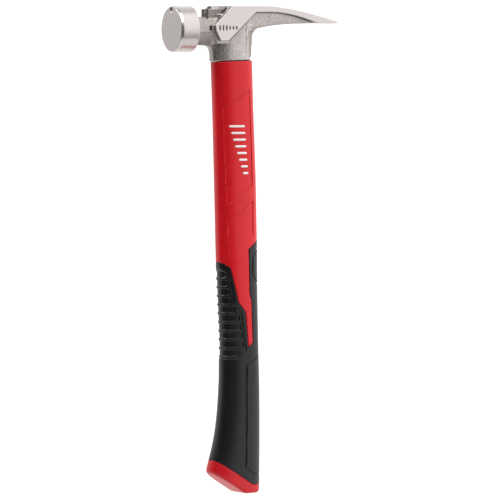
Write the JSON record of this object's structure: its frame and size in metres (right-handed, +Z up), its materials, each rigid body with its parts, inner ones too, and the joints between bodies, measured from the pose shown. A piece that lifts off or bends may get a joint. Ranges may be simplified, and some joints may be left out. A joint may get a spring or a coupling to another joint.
{
  "type": "claw hammer",
  "caption": "Framing hammer with a smooth round striking face, straight rip claw, nail-starter groove and an overmoulded handle with a ribbed rubber grip.",
  "frame": {"origin": "middle of the ribbed grip, where the striking hand closes, between the handle's two sides", "axes": "+Z up the handle towards the head, -X the striking direction and square to the striking face, +Y across the thin side of the hammer"},
  "size_m": [0.1436, 0.037, 0.3897],
  "materials": {
    "forged_steel": "ground and polished bell, cheeks and claw border, shot-blasted forging elsewhere",
    "magnet": "nickel-plated disc",
    "fibreglass": "sawn pultruded rod",
    "resin": "cast epoxy",
    "red_polymer": "satin moulded polymer",
    "grip_rubber": "fine-textured soft rubber",
    "red_cap": "satin moulded polymer"
  },
  "bodies": {
    "root": {"head": "forged_steel", "nail_magnet": "magnet", "handle_core": "fibreglass", "eye_resin": "resin", "handle_jacket": "red_polymer", "grip": "grip_rubber", "butt_cap": "red_cap"}
  },
  "joints": []
}
